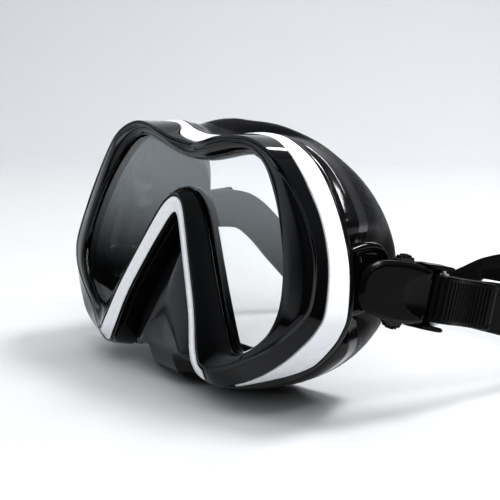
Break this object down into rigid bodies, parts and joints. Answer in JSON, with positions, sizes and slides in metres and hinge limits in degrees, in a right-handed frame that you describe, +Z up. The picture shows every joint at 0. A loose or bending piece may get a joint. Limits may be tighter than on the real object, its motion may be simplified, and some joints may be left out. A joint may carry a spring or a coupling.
{
  "type": "diving mask",
  "caption": "Diving mask with a glass pane in a ridged bezel, an accent band, a silicone skirt with a nose pocket, and a strap on swivelling squeeze buckles.",
  "frame": {"origin": "on the floor, below the middle of the mask and its strap together", "axes": "the glass faces -Y, the strap runs back to +Y, +X is the side of the wearer's left hand as the mask is worn, +Z up"},
  "size_m": [0.1764, 0.1785, 0.0937],
  "materials": {
    "glass": "clear, polished",
    "white_polymer": "gloss",
    "black_polymer": "gloss",
    "silicone": "satin",
    "steel": "brushed"
  },
  "bodies": {
    "frame": {"lens_pane": "glass", "front_bezel": "black_polymer", "nose_trim": "white_polymer", "accent_band": "white_polymer", "main_frame": "black_polymer", "skirt": "silicone", "buckle_mount_right": "black_polymer", "buckle_mount_left": "black_polymer", "pivot_pin_right": "black_polymer", "pivot_pin_left": "black_polymer"},
    "strap": {"head_strap": "silicone", "buckle_body_right": "black_polymer", "buckle_body_left": "black_polymer", "buckle_cover_right": "black_polymer", "buckle_cover_left": "black_polymer", "roller_pin_right": "steel", "roller_pin_left": "steel"},
    "button_upper_right": {"button_upper_right": "black_polymer"},
    "button_lower_right": {"button_lower_right": "black_polymer"},
    "latch_pawl_right": {"latch_pawl_right": "steel"},
    "strap_roller_right": {"strap_roller_right": "steel"},
    "button_upper_left": {"button_upper_left": "black_polymer"},
    "button_lower_left": {"button_lower_left": "black_polymer"},
    "latch_pawl_left": {"latch_pawl_left": "steel"},
    "strap_roller_left": {"strap_roller_left": "steel"}
  },
  "joints": [
    {"name": "strap_swing", "type": "hinge", "parent": "frame", "child": "strap", "pos_m": [0, -0.049, 0.0458], "axis": [1, 0, 0], "range_deg": [0, 45]},
    {"name": "press_upper_right", "type": "slide", "parent": "strap", "child": "button_upper_right", "axis": [0, -0.2419, -0.9703], "range_m": [0, 0.0015], "stiffness_N_per_m": 400},
    {"name": "press_lower_right", "type": "slide", "parent": "strap", "child": "button_lower_right", "axis": [0, 0.2419, 0.9703], "range_m": [0, 0.0015], "stiffness_N_per_m": 400},
    {"name": "latch_tilt_right", "type": "hinge", "parent": "strap", "child": "latch_pawl_right", "pos_m": [0.0834, -0.03212, 0.04159], "axis": [0, 0.2419, 0.9703], "range_deg": [-6, 6], "stiffness_Nm_per_rad": 0.002},
    {"name": "roller_spin_right", "type": "hinge", "parent": "strap", "child": "strap_roller_right", "pos_m": [0.0836, -0.02426, 0.03963], "axis": [0, 0.2419, 0.9703], "continuous": true},
    {"name": "press_upper_left", "type": "slide", "parent": "strap", "child": "button_upper_left", "axis": [0, 0.0698, -0.9976], "range_m": [0, 0.0015], "stiffness_N_per_m": 400},
    {"name": "press_lower_left", "type": "slide", "parent": "strap", "child": "button_lower_left", "axis": [0, -0.0698, 0.9976], "range_m": [0, 0.0015], "stiffness_N_per_m": 400},
    {"name": "latch_tilt_left", "type": "hinge", "parent": "strap", "child": "latch_pawl_left", "pos_m": [-0.0834, -0.03164, 0.04701], "axis": [0, -0.0698, 0.9976], "range_deg": [-6, 6], "stiffness_Nm_per_rad": 0.002},
    {"name": "roller_spin_left", "type": "hinge", "parent": "strap", "child": "strap_roller_left", "pos_m": [-0.0836, -0.02356, 0.04758], "axis": [0, -0.0698, 0.9976], "continuous": true}
  ]
}
